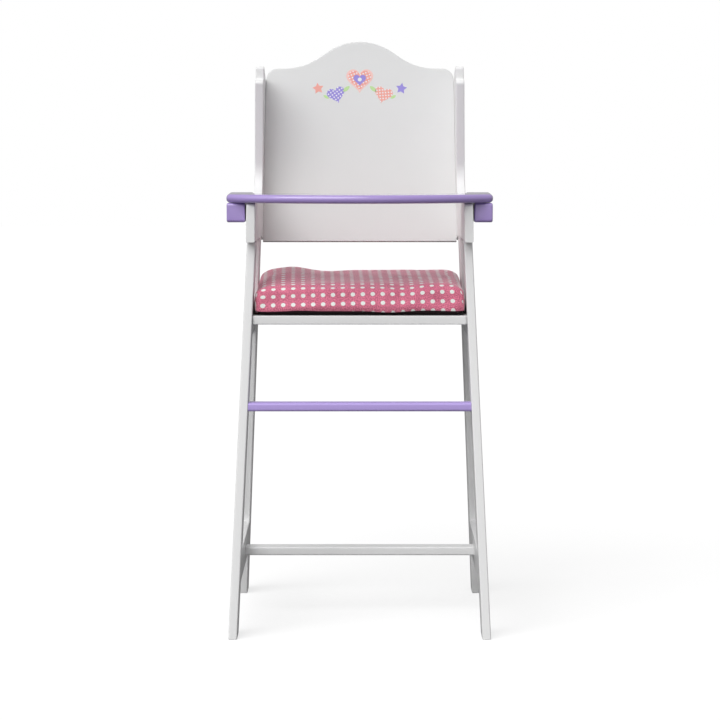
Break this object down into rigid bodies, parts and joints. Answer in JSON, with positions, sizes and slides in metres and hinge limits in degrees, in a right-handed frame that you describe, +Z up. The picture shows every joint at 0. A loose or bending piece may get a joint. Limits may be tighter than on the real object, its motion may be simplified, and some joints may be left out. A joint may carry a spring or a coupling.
{
  "type": "doll high chair",
  "caption": "High chair for a doll, with splayed painted legs, winged side panels, a domed backrest, a cushioned seat and a bow-fronted tray that swings up.",
  "frame": {"origin": "on the floor, under the middle of the whole chair", "axes": "+Z up, the chair faces -Y, +X to the right of a person who faces it"},
  "size_m": [0.2824, 0.2804, 0.6195],
  "materials": {
    "white_paint": "smooth satin white paint over board",
    "lilac_paint": "smooth satin lilac paint over board",
    "dotted_fabric": "plain woven cotton, pink with small white dots",
    "bare_wood": "unpainted beech",
    "steel": "zinc plated"
  },
  "bodies": {
    "chair": {"left_side_panel": "white_paint", "left_front_leg": "white_paint", "left_rear_leg": "white_paint", "left_seat_rail": "white_paint", "left_lower_stretcher": "white_paint", "right_side_panel": "white_paint", "right_front_leg": "white_paint", "right_rear_leg": "white_paint", "right_seat_rail": "white_paint", "right_lower_stretcher": "white_paint", "backrest_panel": "white_paint", "seat_board": "white_paint", "lower_crossbar": "white_paint", "footrest_bar": "lilac_paint", "seat_cushion": "dotted_fabric", "left_stretcher_front_dowel": "bare_wood", "left_stretcher_rear_dowel": "bare_wood", "left_seat_rail_front_dowel": "bare_wood", "left_seat_rail_rear_dowel": "bare_wood", "left_front_leg_dowel": "bare_wood", "left_rear_leg_dowel": "bare_wood", "right_stretcher_front_dowel": "bare_wood", "right_stretcher_rear_dowel": "bare_wood", "right_seat_rail_front_dowel": "bare_wood", "right_seat_rail_rear_dowel": "bare_wood", "right_front_leg_dowel": "bare_wood", "right_rear_leg_dowel": "bare_wood", "left_footrest_screw": "steel", "left_crossbar_screw": "steel", "left_seat_screw_1": "steel", "left_seat_screw_2": "steel", "left_backrest_screw_1": "steel", "left_backrest_screw_2": "steel", "right_footrest_screw": "steel", "right_crossbar_screw": "steel", "right_seat_screw_1": "steel", "right_seat_screw_2": "steel", "right_backrest_screw_1": "steel", "right_backrest_screw_2": "steel", "left_pivot_insert": "steel", "left_pivot_washer": "steel", "left_pivot_bolt": "steel", "right_pivot_insert": "steel", "right_pivot_washer": "steel", "right_pivot_bolt": "steel"},
    "tray": {"tray_board": "lilac_paint", "left_tray_arm": "lilac_paint", "right_tray_arm": "lilac_paint", "left_tray_screw_1": "steel", "left_tray_screw_2": "steel", "right_tray_screw_1": "steel", "right_tray_screw_2": "steel"}
  },
  "joints": [
    {"name": "tray_swing", "type": "hinge", "parent": "chair", "child": "tray", "pos_m": [0, 0.041, 0.4347], "axis": [-1, 0, 0], "range_deg": [0, 90]}
  ]
}
